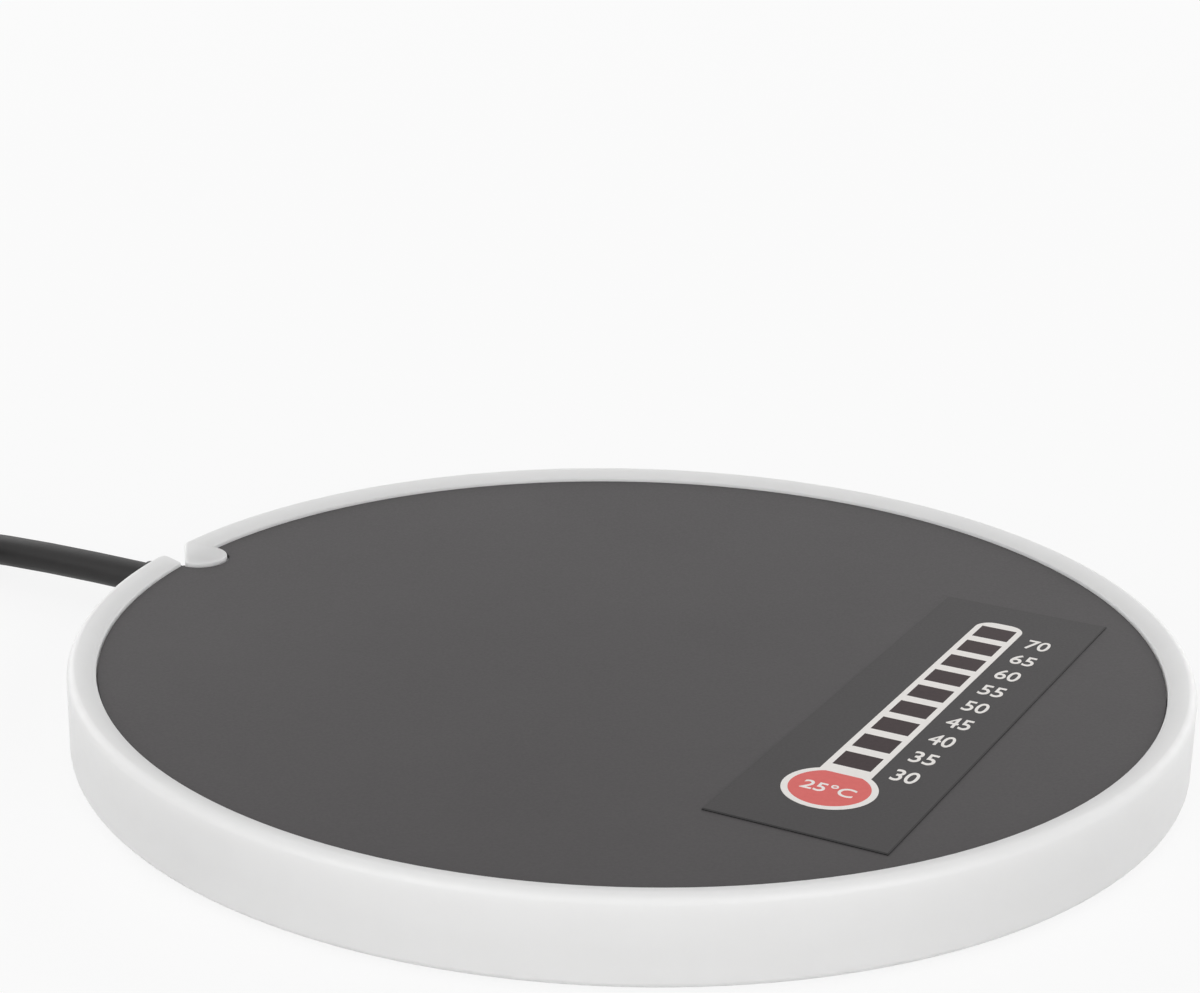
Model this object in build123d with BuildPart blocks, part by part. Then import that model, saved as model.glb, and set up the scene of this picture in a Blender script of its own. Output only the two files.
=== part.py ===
from build123d import *
import os
from math import cos, pi, radians, sin, tan

# Electric mug warmer: a slim round heating plate in a split rubber edge band.
# Millimetres. Z = 0 is the table, the Z axis is the middle of the heated panel,
# and -Y is the side that faces the user.

# ---- Driving dimensions ----------------------------------------------------------------
# Outside
rim_radius = 60.0        # inside of the edge band, round the heated panel
band_wall = 3.0
band_height = 9.5
stand_height = 0.5       # how far the feet hold the band off the table
rim_rise = 1.1           # the band's rim stands this much above the panel
band_top_fillet = 1.3
band_bottom_fillet = 0.7
band_inner_chamfer = 0.35

# Split in the edge band, and its locking lobe
slit_angle = 157.85      # degrees round Z where the band's plain end meets the rim
slit_gap = 0.55
slit_lean = 57.0         # degrees between the radius and the lobed end's face
slit_corner = 1.3        # rounding of the plain end's outer corner
lobe_angle = 154.7
lobe_inset = 0.8         # the lobe's centre lies this far inside the rim
lobe_radius = 3.2

# Heated plate, listed downwards
panel_thickness = 0.6
spreader_thickness = 1.2
film_thickness = 0.2
track_thickness = 0.1
pad_thickness = 0.9
carrier_thickness = 0.8
track_width = 1.6
track_pitch = 4.0
track_margin = 6.0       # from the circle of the plate screws to the nearest arcs
inner_rings = 5          # arcs inside the plate screws
outer_rings = 2          # and outside them
lead_reach = 13.0        # the heater's lead pads lie this far from the middle
lead_pitch = 3.0
press_travel = 0.5       # how far a mug presses the plate down

# Base
floor_thickness = 1.4
wall_thickness = 1.5
tongue_reach = 1.2       # the tray's rim tongue, which the band grips
tongue_thickness = 1.2
tongue_lift = 2.4        # above the tray's underside
lip_width = 1.5          # the band's lip under the tray
lip_thickness = 0.6
rib_height = 1.4
rib_thickness = 1.0
rib_inner_radius = 28.0
rib_step = 30            # degrees from rib to rib, the first beside the cord
foot_radius = 5.0
foot_pocket = 0.3
foot_inset = 4.5         # from the band's lip to the feet
fastener_turn = 20.0     # degrees round Z of the first plate screw

# Plate guides, springs and screws
guide_count = 4
guide_inset = 14.1       # from the plate's edge to the guide pins' circle
pin_radius = 1.9
boss_wall = 1.0
counterbore_depth = 1.8
plate_screw_radius = 1.0
plate_screw_head_radius = 2.9
plate_screw_head = 0.8
plate_screw_bite = 0.8   # thread inside the spreader
spring_wire_radius = 0.25
spring_turns = 3
recess_span = 1.1        # a screw's cross recess, over its head's radius
recess_slot = 0.3

# Circuit board
board_length = 34.0
board_width = 24.0
board_thickness = 0.8
board_corner = 1.0
board_lift = 0.5
board_screw_inset = 2.6
small_screw_radius = 0.8
small_screw_head_radius = 1.6
small_screw_head = 1.0
small_screw_bite = 1.2
window_margin = 0.8      # the carrier's windows stand this far outside the board
bridge_width = 9.0       # the carrier's bar over the switch
switch_size = 6.0
stem_radius = 0.7
transistor_legs = 3      # on each side
chip_legs = 4
chip_length = 5.0
chip_width = 4.0
chip_height = 1.0
chip_draft = 5           # degrees
leg_width = 0.4
leg_thickness = 0.2
leg_reach = 0.8
component_y = 6.5        # components stand this far either side of the board's middle line
small_part = 1.4

# Sensors
sensor_radius = 1.5
sensor_height = 1.2
fuse_radius = 1.1
fuse_length = 9.0
lead_radius = 0.35
wire_radius = 0.65
wire_bend = 6.0
wire_pitch = 3.0

# Cord
cord_radius = 2.0
cord_angle = 153.0       # degrees round Z where the cord leaves
cord_inside = 17.0       # jacket inside the rim
relief_wall = 0.7
relief_tip_wall = 0.3
relief_outside = 6.0
relief_grooves = 3
first_run = 18.0         # of the cord, straight on from the strain relief
clamp_length = 6.0
clamp_width = 16.0
clamp_ear = 1.2
clamp_roof = 0.7
clamp_pitch = 11.0       # between the clamp's two screws
bay_margin = 1.5         # round the clamp, of the notch in the plate's lower layers

# Coil of spare cord, its tie and the plug
coil_outer_radius = 32.0
coil_turns_wide = 5
coil_layers = 2
tie_width = 6.0
tie_thickness = 0.5
tie_angle = 305.0
plug_width = 15.5
plug_thickness = 7.8
plug_length = 21.0
plug_corner = 2.0
plug_back_fillet = 1.3
plug_front_chamfer = 0.4
shell_width = 12.0
shell_thickness = 4.5
shell_length = 12.0
shell_wall = 0.35
tongue_plate = 1.8       # plastic tongue inside the plug's shell
window_size = 2.2
contact_width = 1.2
contact_thickness = 0.2
contact_length = 9.0
contact_pitch = 2.4

# Thermometer label
label_width = 19.6
label_length = 68.0
label_thickness = 0.1
ink_thickness = 0.04
label_turn = 63.0        # degrees from +X to the scale's long axis
first_cell_angle = -52.3 # degrees round Z
first_cell_inset = 21.6  # from the rim to the scale's first cell
label_front = 18.1       # from the first cell's centre to the label's front edge
label_right = 10.6       # and to its right edge
cell_count = 9
cell_pitch = 5.12
cell_width = 4.2
cell_length = 3.6
line_width = 0.7
tube_end_radius = 2.0
bulb_radius = 4.9
bulb_drop = 7.4          # from the first cell's centre to the bulb's
bulb_chord = 3.7         # and to the flat top of its red fill
first_reading = 30
reading_step = 5
numeral_height = 2.7
bulb_numeral_height = 1.8
numeral_aspect = 0.5     # the strokes' box, width over height
numeral_step = 0.72      # from digit to digit, over the height
stroke_share = 0.16      # a stroke's width over the height
numeral_offset = 5.7
numeral_drop = 1.0

# Clearances
panel_gap = 0.3          # round the moving panel
plate_gap = 0.35         # round the moving plate inside the tray's wall
push_fit = 0.05          # between pieces that are pushed together
running_fit = 0.08       # radial, between the guide pins and their sleeves
stop_gap = 0.05          # left over the sleeves when the plate is fully down
pressed_gap = 0.2        # left over the switch and the clamp then
head_gap = 0.3           # round the plate screws' heads
spring_gap = 0.55        # between the bosses and the springs round them
soft_gap = 0.3

# ---- Levels and radii that follow -------------------------------------------------------
base_z = stand_height
rim_z = base_z + band_height
band_radius = rim_radius + band_wall
panel_top_z = rim_z - rim_rise
panel_z = panel_top_z - panel_thickness
spreader_z = panel_z - spreader_thickness
film_z = spreader_z - film_thickness
track_z = film_z - track_thickness
pad_z = track_z - pad_thickness
carrier_z = pad_z - carrier_thickness
floor_z = base_z + floor_thickness
wall_top_z = panel_z - press_travel - 2 * stop_gap
sleeve_top_z = carrier_z - press_travel - stop_gap
shoulder_z = base_z + counterbore_depth
lobe_z = panel_top_z - soft_gap
board_z = floor_z + board_lift
board_top_z = board_z + board_thickness
cord_height = spreader_z - press_travel - pressed_gap - clamp_roof - cord_radius

tray_radius = rim_radius - push_fit
wall_inner_radius = tray_radius - wall_thickness
plate_radius = wall_inner_radius - plate_gap
panel_radius = rim_radius - panel_gap
lip_radius = rim_radius - lip_width
lobe_circle = rim_radius - lobe_inset
guide_circle = plate_radius - guide_inset
foot_circle = lip_radius - foot_inset - foot_radius
foot_turn = fastener_turn + 180 / guide_count
bay_inner_radius = rim_radius - cord_inside - soft_gap
bay_width = clamp_width + 2 * bay_margin

counterbore_radius = plate_screw_head_radius + head_gap
boss_radius = counterbore_radius + boss_wall
spring_radius = boss_radius + spring_gap + spring_wire_radius
relief_radius = cord_radius + relief_wall
relief_tip_radius = cord_radius + relief_tip_wall
rib_turns = [cord_angle + turn for turn in range(rib_step, 360, rib_step)]


def around(radius, angle, z=0.0):
    """Point at a radius and an angle in degrees round Z."""
    return Vector(radius * cos(radians(angle)), radius * sin(radians(angle)), z)


def radial_plane(angle, z=0.0, radius=0.0):
    """Horizontal plane with its x direction pointing outwards at an angle round Z."""
    return Plane(origin=around(radius, angle, z), x_dir=around(1, angle), z_dir=(0, 0, 1))


def cord_plane(radius):
    """Plane across the cord's axis at a radius: x is sideways, y is up, z is outwards."""
    return Plane(origin=around(radius, cord_angle, cord_height),
                 x_dir=around(1, cord_angle + 90), z_dir=around(1, cord_angle))


os.makedirs("parts", exist_ok=True)


def keep(piece, name):
    """Labels a finished piece and writes its STEP file."""
    piece.label = name
    export_step(piece, f"parts/{name}.step")


# ---- Edge band --------------------------------------------------------------------------
# A split rubber band. Its groove grips the tray's tongue, its lip goes under the tray,
# and one end has a lobe that locks into the panel's notch.
tongue_z = base_z + tongue_lift
tongue_top_z = tongue_z + tongue_thickness
groove_radius = rim_radius + tongue_reach
lean = radians(slit_lean)
face_start = Vector(rim_radius - slit_gap * sin(lean), -slit_gap * cos(lean))
face_way = Vector(cos(lean), -sin(lean))

with BuildPart() as edge_band:
    with BuildSketch(Plane.XZ) as band_section:
        with BuildLine():
            Polyline(
                (lip_radius, base_z), (band_radius, base_z), (band_radius, rim_z),
                (rim_radius, rim_z), (rim_radius, tongue_top_z), (groove_radius, tongue_top_z),
                (groove_radius, tongue_z), (rim_radius, tongue_z),
                (rim_radius, base_z + lip_thickness), (lip_radius, base_z + lip_thickness),
                close=True,
            )
        make_face()
        outer_corners = band_section.vertices().group_by(Axis.X)[-1].sort_by(Axis.Y)
        fillet(outer_corners[-1], band_top_fillet)
        fillet(outer_corners[0], band_bottom_fillet)
        rim_corner = band_section.vertices().group_by(Axis.Y)[-1].sort_by(Axis.X)[0]
        chamfer(rim_corner, band_inner_chamfer)
    revolve(axis=Axis.Z)
    # The lobe, level with the rim
    with BuildSketch(Plane.XY.offset(lobe_z)):
        with Locations(around(lobe_circle, lobe_angle)):
            Circle(lobe_radius)
        Circle(rim_radius + band_inner_chamfer, mode=Mode.INTERSECT)
    extrude(amount=rim_z - lobe_z)
    # The split: one radial face with a rounded outer corner, one leaning face
    with BuildSketch(radial_plane(slit_angle, base_z)):
        with BuildLine():
            plain_face = Line((rim_radius, 0), (band_radius - slit_corner, 0))
            corner = TangentArc(plain_face @ 1, (band_radius, slit_corner), tangent=plain_face % 1)
            beyond = Line(corner @ 1, (band_radius + band_wall, slit_corner))
            far_end = face_start + face_way * (3 * band_wall + slit_corner)
            near_end = face_start - face_way * (lobe_radius + lobe_inset)
            Polyline(beyond @ 1, far_end, near_end, plain_face @ 0)
        make_face()
    extrude(amount=band_height, mode=Mode.SUBTRACT)
    # The hole for the cord's strain relief
    with BuildSketch(cord_plane(rim_radius - lip_width - push_fit)):
        Circle(relief_radius + push_fit)
    extrude(amount=2 * band_wall + lip_width, mode=Mode.SUBTRACT)
keep(edge_band.part, "edge_band")

# ---- Base tray --------------------------------------------------------------------------
clamp_seat_z = cord_height - soft_gap
clamp_radius = (bay_inner_radius + wall_inner_radius) / 2
cord_end_radius = rim_radius - cord_inside
relief_start = wall_inner_radius - push_fit
board_holes = (board_length - 2 * board_screw_inset, board_width - 2 * board_screw_inset)
clamp_floor = Plane(origin=around(clamp_radius, cord_angle, floor_z),
                    x_dir=around(1, cord_angle + 90), z_dir=(0, 0, 1))

with BuildPart() as base_tray:
    with BuildSketch(Plane.XZ):
        with BuildLine():
            Polyline(
                (0, base_z), (lip_radius, base_z), (lip_radius, base_z + lip_thickness),
                (tray_radius, base_z + lip_thickness), (tray_radius, tongue_z),
                (groove_radius - push_fit, tongue_z), (groove_radius - push_fit, tongue_top_z),
                (tray_radius, tongue_top_z), (tray_radius, wall_top_z),
                (wall_inner_radius, wall_top_z), (wall_inner_radius, floor_z), (0, floor_z),
                close=True,
            )
        make_face()
    revolve(axis=Axis.Z)
    # Radial ribs
    for turn in rib_turns:
        with BuildSketch(radial_plane(turn, floor_z)):
            with Locations(((rib_inner_radius + wall_inner_radius) / 2, 0)):
                Rectangle(wall_inner_radius - rib_inner_radius, rib_thickness)
        extrude(amount=rib_height)
    # Guide bosses with their bores, and counterbores for the screw heads
    with BuildSketch(Plane.XY.offset(floor_z)):
        with PolarLocations(guide_circle, guide_count, fastener_turn):
            Circle(boss_radius)
    extrude(amount=sleeve_top_z - floor_z)
    with BuildSketch(Plane.XY.offset(base_z)):
        with PolarLocations(guide_circle, guide_count, fastener_turn):
            Circle(pin_radius + running_fit)
    extrude(amount=sleeve_top_z - base_z, mode=Mode.SUBTRACT)
    with BuildSketch(Plane.XY.offset(base_z)):
        with PolarLocations(guide_circle, guide_count, fastener_turn):
            Circle(counterbore_radius)
    extrude(amount=counterbore_depth, mode=Mode.SUBTRACT)
    # Board posts and clamp posts
    with BuildSketch(Plane.XY.offset(floor_z)):
        with GridLocations(*board_holes, 2, 2):
            Circle(small_screw_head_radius + push_fit)
    extrude(amount=board_lift)
    with BuildSketch(clamp_floor):
        with GridLocations(clamp_pitch, 0, 2, 1):
            Rectangle(clamp_width - clamp_pitch, clamp_length)
    extrude(amount=clamp_seat_z - floor_z)
    # Pilot holes for the small screws
    with BuildSketch(Plane.XY.offset(board_z)):
        with GridLocations(*board_holes, 2, 2):
            Circle(small_screw_radius + push_fit)
    extrude(amount=-small_screw_bite - push_fit, mode=Mode.SUBTRACT)
    with BuildSketch(clamp_floor.offset(clamp_seat_z - floor_z)):
        with GridLocations(clamp_pitch, 0, 2, 1):
            Circle(small_screw_radius + push_fit)
    extrude(amount=-small_screw_bite - push_fit, mode=Mode.SUBTRACT)
    # Cord channel, hole for the strain relief, and pockets for the feet
    with BuildSketch(cord_plane(cord_end_radius - soft_gap)):
        Circle(cord_radius + push_fit)
    extrude(amount=cord_inside, mode=Mode.SUBTRACT)
    with BuildSketch(cord_plane(relief_start)):
        Circle(relief_radius + push_fit)
    extrude(amount=wall_thickness + tongue_reach + 2 * push_fit, mode=Mode.SUBTRACT)
    with BuildSketch(Plane.XY.offset(base_z)):
        with PolarLocations(foot_circle, guide_count, foot_turn):
            Circle(foot_radius + push_fit)
    extrude(amount=foot_pocket, mode=Mode.SUBTRACT)
keep(base_tray.part, "base_tray")

# ---- Feet -------------------------------------------------------------------------------
with BuildPart() as rubber_feet:
    with BuildSketch():
        with PolarLocations(foot_circle, guide_count, foot_turn):
            Circle(foot_radius)
    extrude(amount=stand_height + foot_pocket)
    chamfer(rubber_feet.edges().group_by(Axis.Z)[0], stand_height / 3)
keep(rubber_feet.part, "rubber_feet")

# ---- Heated plate: panel, spreader, heater, pad and carrier --------------------------------
# Components stand clear of the board's screws, either side of the switch.
component_x = board_holes[0] / 2 - small_screw_head_radius - soft_gap - chip_length / 2
sensor_spot = (component_x, component_y - 1.5 * small_part)
fuse_spot = (-bridge_width / 2 - fuse_radius - 2 * soft_gap, small_part + fuse_length / 2)
bay_length = rim_radius - bay_inner_radius


def screw_holes(radius):
    """Cuts round holes for the plate screws into the sketch in hand."""
    with PolarLocations(guide_circle, guide_count, fastener_turn):
        Circle(radius, mode=Mode.SUBTRACT)


def cord_bay():
    """Cuts the notch over the cord clamp into the sketch in hand."""
    bay_middle = around(bay_inner_radius + bay_length / 2, cord_angle)
    with Locations(Location(bay_middle, (0, 0, cord_angle))):
        Rectangle(bay_length, bay_width, mode=Mode.SUBTRACT)


def sensor_holes():
    """Cuts the holes for the sensor and the fuse into the sketch in hand."""
    with Locations(sensor_spot):
        Circle(sensor_radius + soft_gap, mode=Mode.SUBTRACT)
    with Locations(fuse_spot):
        Rectangle(2 * (fuse_radius + soft_gap), fuse_length + 2 * soft_gap, mode=Mode.SUBTRACT)


with BuildPart() as top_panel:
    with BuildSketch(Plane.XY.offset(panel_z)):
        Circle(panel_radius)
        with Locations(around(lobe_circle, lobe_angle)):
            Circle(lobe_radius + soft_gap, mode=Mode.SUBTRACT)
    extrude(amount=panel_thickness)
keep(top_panel.part, "top_panel")

with BuildPart() as heat_spreader:
    with BuildSketch(Plane.XY.offset(spreader_z)):
        Circle(plate_radius)
    extrude(amount=spreader_thickness)
    with BuildSketch(Plane.XY.offset(spreader_z)):
        with PolarLocations(guide_circle, guide_count, fastener_turn):
            Circle(plate_screw_radius + push_fit)
    extrude(amount=plate_screw_bite + push_fit, mode=Mode.SUBTRACT)
keep(heat_spreader.part, "heat_spreader")

with BuildPart() as heater_film:
    with BuildSketch(Plane.XY.offset(film_z)):
        Circle(plate_radius)
        screw_holes(plate_screw_radius + soft_gap)
        cord_bay()
        sensor_holes()
    extrude(amount=film_thickness)
keep(heater_film.part, "heater_film")

# The heating track runs to and fro in arcs that stop short of the cord's bay. Two legs
# bring its ends to the lead pads, which lie over the circuit board.
track_radii = [guide_circle - track_margin - track_pitch * ring for ring in reversed(range(inner_rings))]
track_radii += [guide_circle + track_margin + track_pitch * ring for ring in range(outer_rings)]
leg_offset = bay_width / 2 + track_width
arc_offset = leg_offset + 2 * track_width


def arc_end(radius, side):
    """Where the arc of that radius ends beside the bay, with x along the cord."""
    return (radius**2 - arc_offset**2) ** 0.5, side * arc_offset


with BuildPart() as heater_track:
    with BuildSketch(radial_plane(cord_angle, track_z)):
        for radius in reversed(track_radii):
            Circle(radius + track_width / 2)
            Circle(radius - track_width / 2, mode=Mode.SUBTRACT)
        with Locations((rim_radius, 0)):
            Rectangle(2 * rim_radius, 2 * arc_offset - track_width, mode=Mode.SUBTRACT)
        with BuildLine():
            for step, (inner, outer) in enumerate(zip(track_radii, track_radii[1:])):
                side = 1 if step % 2 else -1
                Line(arc_end(inner, side), arc_end(outer, side))
            last_end = arc_end(track_radii[-1], -1)
            Polyline(last_end, (last_end[0], -leg_offset), (lead_reach, -leg_offset),
                     (lead_reach, -lead_pitch / 2))
            Polyline(arc_end(track_radii[0], 1), (lead_reach, arc_offset), (lead_reach, lead_pitch / 2))
        trace(line_width=track_width)
    extrude(amount=track_thickness)
keep(heater_track.part, "heater_track")

with BuildPart() as insulation_pad:
    with BuildSketch(Plane.XY.offset(pad_z)):
        Circle(plate_radius)
        screw_holes(plate_screw_radius + soft_gap)
        cord_bay()
        sensor_holes()
    extrude(amount=pad_thickness)
    with BuildSketch(radial_plane(cord_angle, pad_z)):
        with Locations((lead_reach, 0)):
            with GridLocations(0, lead_pitch, 1, 2):
                Circle(lead_radius + soft_gap)
    extrude(amount=pad_thickness, mode=Mode.SUBTRACT)
keep(insulation_pad.part, "insulation_pad")

window_length = (board_length - bridge_width) / 2 + window_margin
window_width = board_width + 2 * window_margin
window_middle = (bridge_width + window_length) / 2

with BuildPart() as plate_carrier:
    with BuildSketch(Plane.XY.offset(carrier_z)):
        Circle(plate_radius)
        cord_bay()
        with GridLocations(2 * window_middle, 0, 2, 1):
            Rectangle(window_length, window_width, mode=Mode.SUBTRACT)
    extrude(amount=carrier_thickness)
    with BuildSketch(Plane.XY.offset(shoulder_z)):
        with PolarLocations(guide_circle, guide_count, fastener_turn):
            Circle(pin_radius)
    extrude(amount=carrier_z - shoulder_z)
    with BuildSketch(Plane.XY.offset(shoulder_z)):
        with PolarLocations(guide_circle, guide_count, fastener_turn):
            Circle(plate_screw_radius + push_fit)
    extrude(amount=pad_z - shoulder_z, mode=Mode.SUBTRACT)
keep(plate_carrier.part, "plate_carrier")


def cross_recess(radius):
    """Draws the cross of a screw head's recess in the sketch in hand."""
    Rectangle(recess_span * radius, recess_slot * radius)
    Rectangle(recess_slot * radius, recess_span * radius)


# Four flanged screws hold the carrier to the spreader from below, and stop the plate.
with BuildPart() as plate_screw:
    with BuildSketch(Plane.XY.offset(shoulder_z - plate_screw_head)):
        Circle(plate_screw_head_radius)
    extrude(amount=plate_screw_head)
    fillet(plate_screw.edges().group_by(Axis.Z)[0], plate_screw_head / 3)
    with BuildSketch(Plane.XY.offset(shoulder_z)):
        Circle(plate_screw_radius)
    extrude(amount=spreader_z + plate_screw_bite - shoulder_z)
    with BuildSketch(Plane.XY.offset(shoulder_z - plate_screw_head)):
        cross_recess(plate_screw_head_radius)
    extrude(amount=plate_screw_head / 2, mode=Mode.SUBTRACT)

with BuildPart() as plate_screws:
    with PolarLocations(guide_circle, guide_count, fastener_turn):
        add(plate_screw.part)
keep(plate_screws.part, "plate_screws")

# ---- Springs under the plate -----------------------------------------------------------
spring_height = carrier_z - floor_z - 2 * spring_wire_radius

with BuildPart() as return_spring:
    with BuildLine(Plane.XY.offset(floor_z + spring_wire_radius)) as spring_line:
        Helix(spring_height / spring_turns, spring_height, spring_radius)
    with BuildSketch(Plane(origin=spring_line.line @ 0, z_dir=spring_line.line % 0)):
        Circle(spring_wire_radius)
    sweep(is_frenet=True)

with BuildPart() as return_springs:
    with PolarLocations(guide_circle, guide_count, fastener_turn):
        add(return_spring.part)
keep(return_springs.part, "return_springs")

# ---- Circuit board and what it carries ---------------------------------------------------
with BuildPart() as circuit_board:
    with BuildSketch(Plane.XY.offset(board_z)):
        RectangleRounded(board_length, board_width, board_corner)
        with GridLocations(*board_holes, 2, 2):
            Circle(small_screw_radius + push_fit, mode=Mode.SUBTRACT)
    extrude(amount=board_thickness)
keep(circuit_board.part, "circuit_board")


def small_screw(seat_z, clamped):
    """Pan-head screw whose head sits at seat_z and holds down a piece of that thickness."""
    with BuildPart() as screw:
        with BuildSketch(Plane.XY.offset(seat_z)):
            Circle(small_screw_head_radius)
        extrude(amount=small_screw_head)
        fillet(screw.edges().group_by(Axis.Z)[-1], small_screw_head / 3)
        with BuildSketch(Plane.XY.offset(seat_z + small_screw_head)):
            cross_recess(small_screw_head_radius)
        extrude(amount=-small_screw_head / 2, mode=Mode.SUBTRACT)
        with BuildSketch(Plane.XY.offset(seat_z)):
            Circle(small_screw_radius)
        extrude(amount=-clamped - small_screw_bite)
    return screw.part


with BuildPart() as board_screws:
    with GridLocations(*board_holes, 2, 2):
        add(small_screw(board_top_z, board_thickness))
keep(board_screws.part, "board_screws")

# The switch under the middle of the plate, with the bore for its stem
stem_z = board_top_z + press_travel + stop_gap
switch_height = carrier_z - press_travel - pressed_gap - board_top_z
with BuildPart() as switch_body:
    with BuildSketch(Plane.XY.offset(board_top_z)):
        Rectangle(switch_size, switch_size)
    extrude(amount=switch_height)
    chamfer(switch_body.edges().filter_by(Axis.Z), switch_size / 10)
    with BuildSketch(Plane.XY.offset(board_top_z + switch_height)):
        Circle(stem_radius + running_fit)
    extrude(amount=-switch_height, mode=Mode.SUBTRACT)
keep(switch_body.part, "switch_body")

with BuildPart() as switch_stem:
    with BuildSketch(Plane.XY.offset(stem_z)):
        Circle(stem_radius)
    extrude(amount=carrier_z - stem_z)
keep(switch_stem.part, "switch_stem")


def chip(x, legs):
    """Moulded body with gull-wing legs on both sides, at x along the board."""
    with BuildPart() as body:
        with BuildSketch(Plane.XY.offset(board_top_z + leg_thickness)):
            with Locations((x, -component_y)):
                Rectangle(chip_length, chip_width)
        extrude(amount=chip_height - leg_thickness, taper=chip_draft)
        with BuildSketch(Plane.XY.offset(board_top_z)):
            with Locations((x, -component_y)):
                with GridLocations(chip_length / legs, 0, legs, 1):
                    Rectangle(leg_width, chip_width + 2 * leg_reach)
        extrude(amount=leg_thickness)
    return body.part


with BuildPart() as power_transistor:
    add(chip(-component_x, transistor_legs))
keep(power_transistor.part, "power_transistor")

with BuildPart() as control_chip:
    add(chip(component_x, chip_legs))
keep(control_chip.part, "control_chip")

# Small parts: capacitors stand upright, resistors lie flat
with BuildPart() as board_capacitors:
    with BuildSketch(Plane.XY.offset(board_top_z)):
        with Locations((component_x, component_y)):
            with GridLocations(2.5 * small_part, 0, 2, 1):
                Rectangle(small_part, 2 * small_part)
    extrude(amount=small_part)
keep(board_capacitors.part, "board_capacitors")

with BuildPart() as board_resistors:
    with BuildSketch(Plane.XY.offset(board_top_z)):
        for side in (-1, 1):
            with Locations((side * component_x, 0)):
                with GridLocations(1.5 * small_part, 0, 3, 1):
                    Rectangle(small_part / 2, small_part)
    extrude(amount=small_part / 3)
keep(board_resistors.part, "board_resistors")

# ---- Sensor, fuse and leads --------------------------------------------------------------
with BuildPart() as temperature_sensor:
    with BuildSketch(Plane.XY.offset(spreader_z)):
        with Locations(sensor_spot):
            Circle(sensor_radius)
    extrude(amount=-sensor_height)
    fillet(temperature_sensor.edges().group_by(Axis.Z)[0], sensor_height / 4)
keep(temperature_sensor.part, "temperature_sensor")

with BuildPart() as thermal_fuse:
    with BuildSketch(Plane.XZ.offset(-fuse_spot[1] - fuse_length / 2)):
        with Locations((fuse_spot[0], spreader_z - fuse_radius)):
            Circle(fuse_radius)
    extrude(amount=fuse_length)
    fillet(thermal_fuse.edges().filter_by(GeomType.CIRCLE), fuse_radius / 3)
keep(thermal_fuse.part, "thermal_fuse")

with BuildPart() as heater_leads:
    with BuildSketch(radial_plane(cord_angle, board_top_z)):
        with Locations((lead_reach, 0)):
            with GridLocations(0, lead_pitch, 1, 2):
                Circle(lead_radius)
    extrude(amount=track_z - board_top_z)
keep(heater_leads.part, "heater_leads")

with BuildPart() as sensor_leads:
    with BuildSketch(Plane.XY.offset(board_top_z)):
        with Locations(sensor_spot):
            with GridLocations(sensor_radius, 0, 2, 1):
                Circle(lead_radius)
    extrude(amount=spreader_z - sensor_height - board_top_z)
keep(sensor_leads.part, "sensor_leads")

with BuildPart() as fuse_leads:
    with BuildSketch(Plane.XY.offset(board_top_z)):
        with Locations(fuse_spot):
            with GridLocations(0, fuse_length - 4 * lead_radius, 1, 2):
                Circle(lead_radius)
    extrude(amount=spreader_z - 2 * fuse_radius - board_top_z)
keep(fuse_leads.part, "fuse_leads")

# ---- Cord entry: wires, jacket end, clamp and strain relief --------------------------------
relief_tip = band_radius + relief_outside
pad_x = (wire_pitch - board_length) / 2
wire_z = board_top_z + wire_radius
wire_offset = wire_radius + soft_gap / 2

# Two insulated wires run from the jacket's end and fan out to their pads on the board.
with BuildPart() as cord_wires:
    for side in (-1, 1):
        wire_spot = (side * wire_offset, wire_z - cord_height)
        start = cord_plane(cord_end_radius).from_local_coords(wire_spot)
        bend = cord_plane(rib_inner_radius).from_local_coords(wire_spot)
        with BuildLine():
            wire_line = FilletPolyline(start, bend, (pad_x, -side * wire_pitch / 2, wire_z),
                                       radius=wire_bend)
        with BuildSketch(Plane(origin=wire_line @ 0, z_dir=wire_line % 0)):
            Circle(wire_radius)
        sweep()
keep(cord_wires.part, "cord_wires")

with BuildPart() as cord_jacket_end:
    with BuildSketch(cord_plane(cord_end_radius)):
        Circle(cord_radius)
    extrude(amount=relief_tip - cord_end_radius)
keep(cord_jacket_end.part, "cord_jacket_end")

clamp_start = clamp_radius - clamp_length / 2
clamp_seat = clamp_seat_z - cord_height
with BuildPart() as cord_clamp:
    with BuildSketch(cord_plane(clamp_start)):
        with Locations((0, clamp_seat + clamp_ear / 2)):
            Rectangle(clamp_width, clamp_ear)
        with Locations((0, (clamp_seat + cord_radius + clamp_roof) / 2)):
            Rectangle(2 * (cord_radius + clamp_roof), cord_radius + clamp_roof - clamp_seat)
        Circle(cord_radius + push_fit, mode=Mode.SUBTRACT)
    extrude(amount=clamp_length)
    with BuildSketch(clamp_floor.offset(clamp_seat_z - floor_z)):
        with GridLocations(clamp_pitch, 0, 2, 1):
            Circle(small_screw_radius + push_fit)
    extrude(amount=clamp_ear, mode=Mode.SUBTRACT)
keep(cord_clamp.part, "cord_clamp")

with BuildPart() as clamp_screws:
    for side in (-1, 1):
        seat = around(clamp_radius, cord_angle) + around(side * clamp_pitch / 2, cord_angle + 90)
        with Locations(seat):
            add(small_screw(clamp_seat_z + clamp_ear, clamp_ear))
keep(clamp_screws.part, "clamp_screws")

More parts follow.
